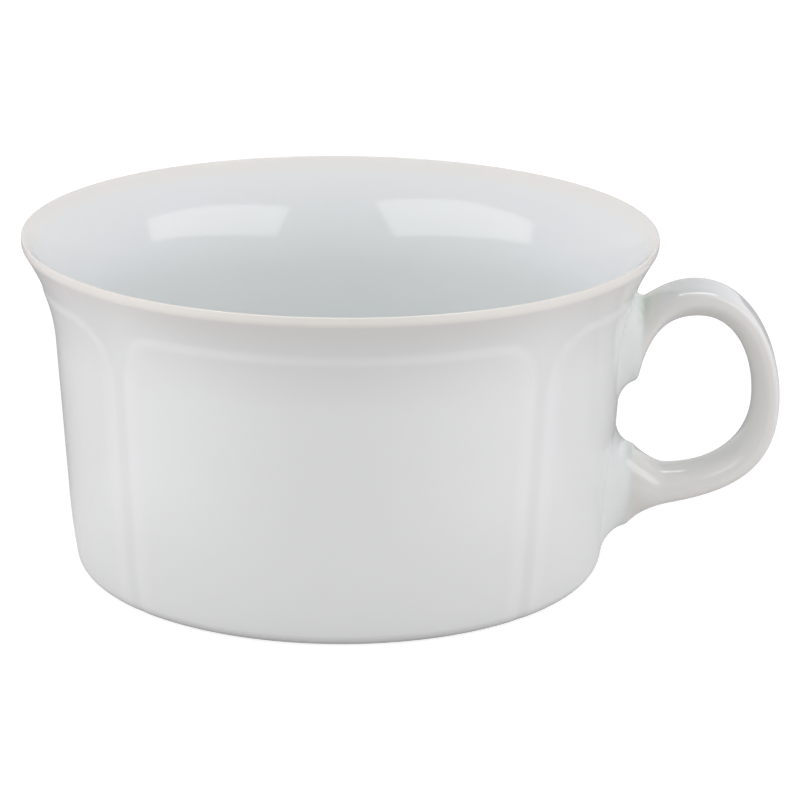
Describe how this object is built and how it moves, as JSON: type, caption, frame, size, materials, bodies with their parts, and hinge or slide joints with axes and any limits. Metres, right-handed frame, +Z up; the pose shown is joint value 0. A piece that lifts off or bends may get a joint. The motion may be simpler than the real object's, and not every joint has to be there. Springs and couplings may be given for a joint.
{
  "type": "tea cup",
  "caption": "Low round porcelain tea cup with a flared rim, raised round-cornered panels on its wall, a flat foot ring and a finger-loop handle joined on by slip collars.",
  "frame": {"origin": "under the middle of the cup's box, on the surface that it stands on; the bowl's axis is at x = -9.83 mm", "axes": "+Z up along the bowl's axis, +X from the bowl towards the handle"},
  "size_m": [0.1196, 0.1, 0.0542],
  "materials": {
    "porcelain": "clear gloss glaze over white porcelain, with a bare foot ring",
    "slip": "clear gloss glaze pooled in the joint, faintly green where it is thick"
  },
  "bodies": {
    "root": {"cup_body": "porcelain", "handle": "porcelain", "upper_slip_joint": "slip", "lower_slip_joint": "slip"}
  },
  "joints": []
}
